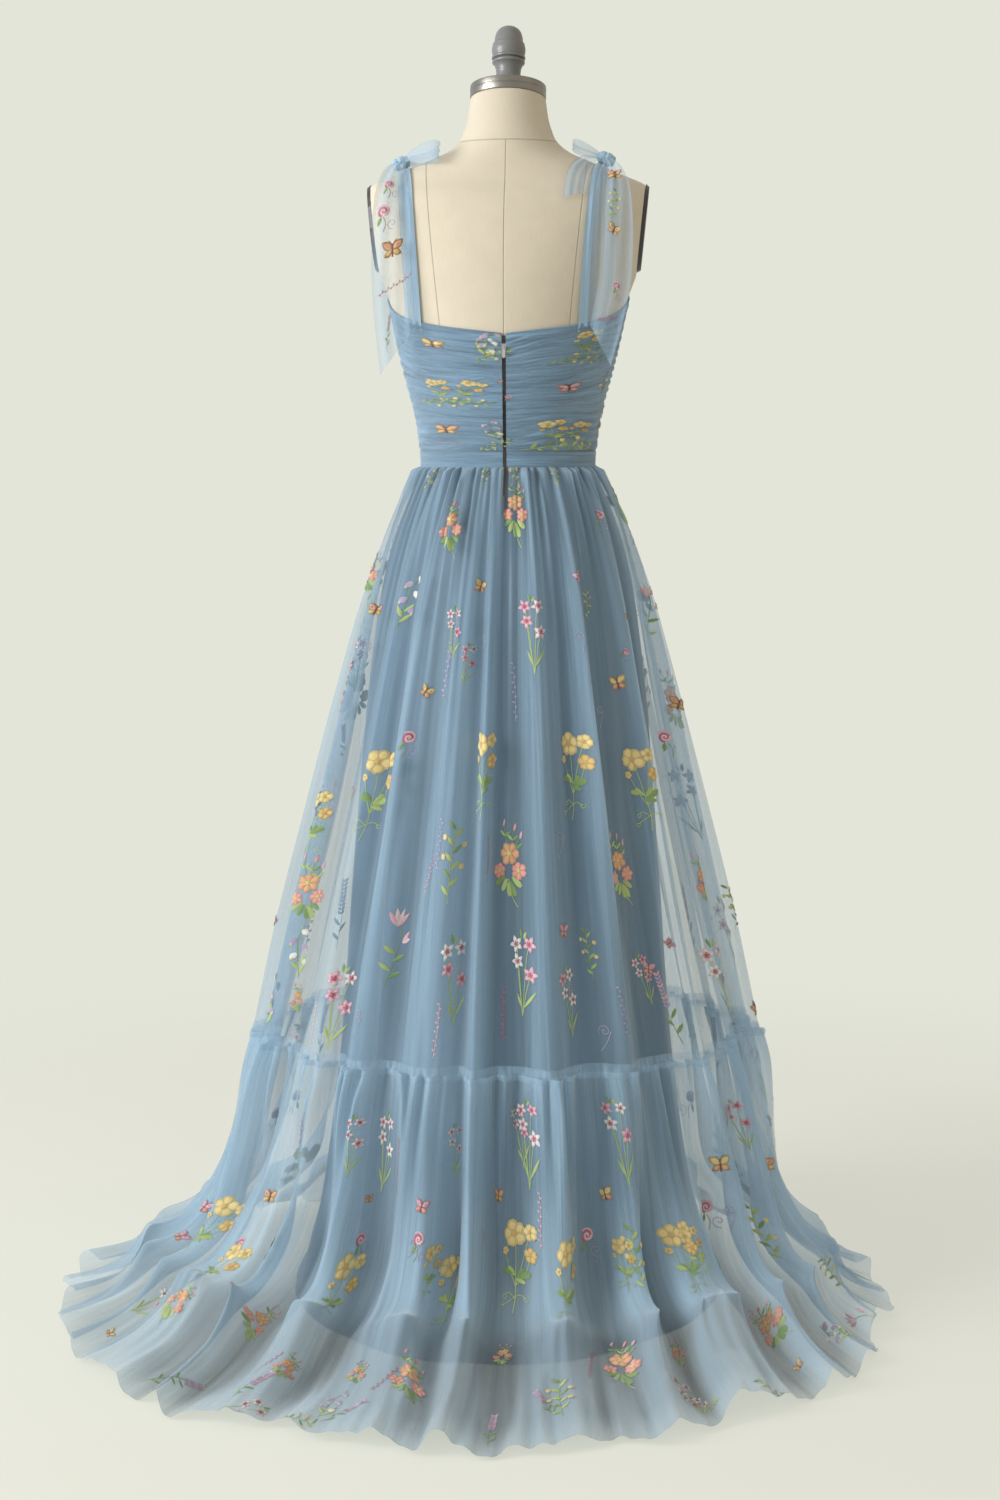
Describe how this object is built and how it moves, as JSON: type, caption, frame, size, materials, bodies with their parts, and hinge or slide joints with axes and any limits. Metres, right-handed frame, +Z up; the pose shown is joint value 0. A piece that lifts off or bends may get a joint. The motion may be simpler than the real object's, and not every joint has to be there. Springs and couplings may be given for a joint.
{
  "type": "tulle a-line dress on dress form",
  "caption": "Ruched bodice with straps tied in shoulder bows, gathered sheer skirt over a lining, flounce and short train, on a limbless dress form with a stand.",
  "frame": {"origin": "on the floor, in the middle of the underside of the stand's round base", "axes": "+Z up, +X to the wearer's right, -Y the way the back of the dress faces, with its zip and train"},
  "size_m": [1.0663, 1.1773, 1.6393],
  "materials": {
    "tulle": "soft dusty blue embroidered net, sheer where it lies single",
    "ruched_tulle": "dusty blue net ruched over lining cloth",
    "lining": "opaque dusty blue, faint satin sheen",
    "strap_tulle": "sheer dusty blue net",
    "zip_tape": "woven tape",
    "zip_metal": "plain nickel",
    "linen": "natural linen over a padded form",
    "dark_plate": "satin dark grey",
    "chrome": "polished",
    "grey_paint": "satin grey"
  },
  "bodies": {
    "gown_on_form": {"armhole_plate_left": "dark_plate", "armhole_plate_right": "dark_plate", "bodice_back_left": "ruched_tulle", "bodice_back_right": "ruched_tulle", "bodice_front": "ruched_tulle", "finial": "grey_paint", "flounce_back_left": "tulle", "flounce_back_right": "tulle", "flounce_front": "tulle", "form_torso": "linen", "knot_left": "strap_tulle", "knot_right": "strap_tulle", "lining_back": "lining", "lining_front": "lining", "loop_left": "strap_tulle", "loop_right": "strap_tulle", "neck_cap": "chrome", "short_end_left": "strap_tulle", "short_end_right": "strap_tulle", "skirt_back_left": "tulle", "skirt_back_right": "tulle", "skirt_front": "tulle", "stand_base": "grey_paint", "stand_pole": "chrome", "strap_back_left": "strap_tulle", "strap_back_right": "strap_tulle", "strap_front_left": "strap_tulle", "strap_front_right": "strap_tulle", "tail_left": "strap_tulle", "tail_right": "strap_tulle", "waistband": "ruched_tulle", "zip_slider": "zip_metal", "zip_tape": "zip_tape"},
    "zip_pull_tab": {"zip_pull": "zip_metal"}
  },
  "joints": [
    {"name": "zip_pull_swing", "type": "hinge", "parent": "gown_on_form", "child": "zip_pull_tab", "pos_m": [0, -0.11265, 1.22074], "axis": [-1, 0, 0], "range_deg": [0, 150]}
  ]
}
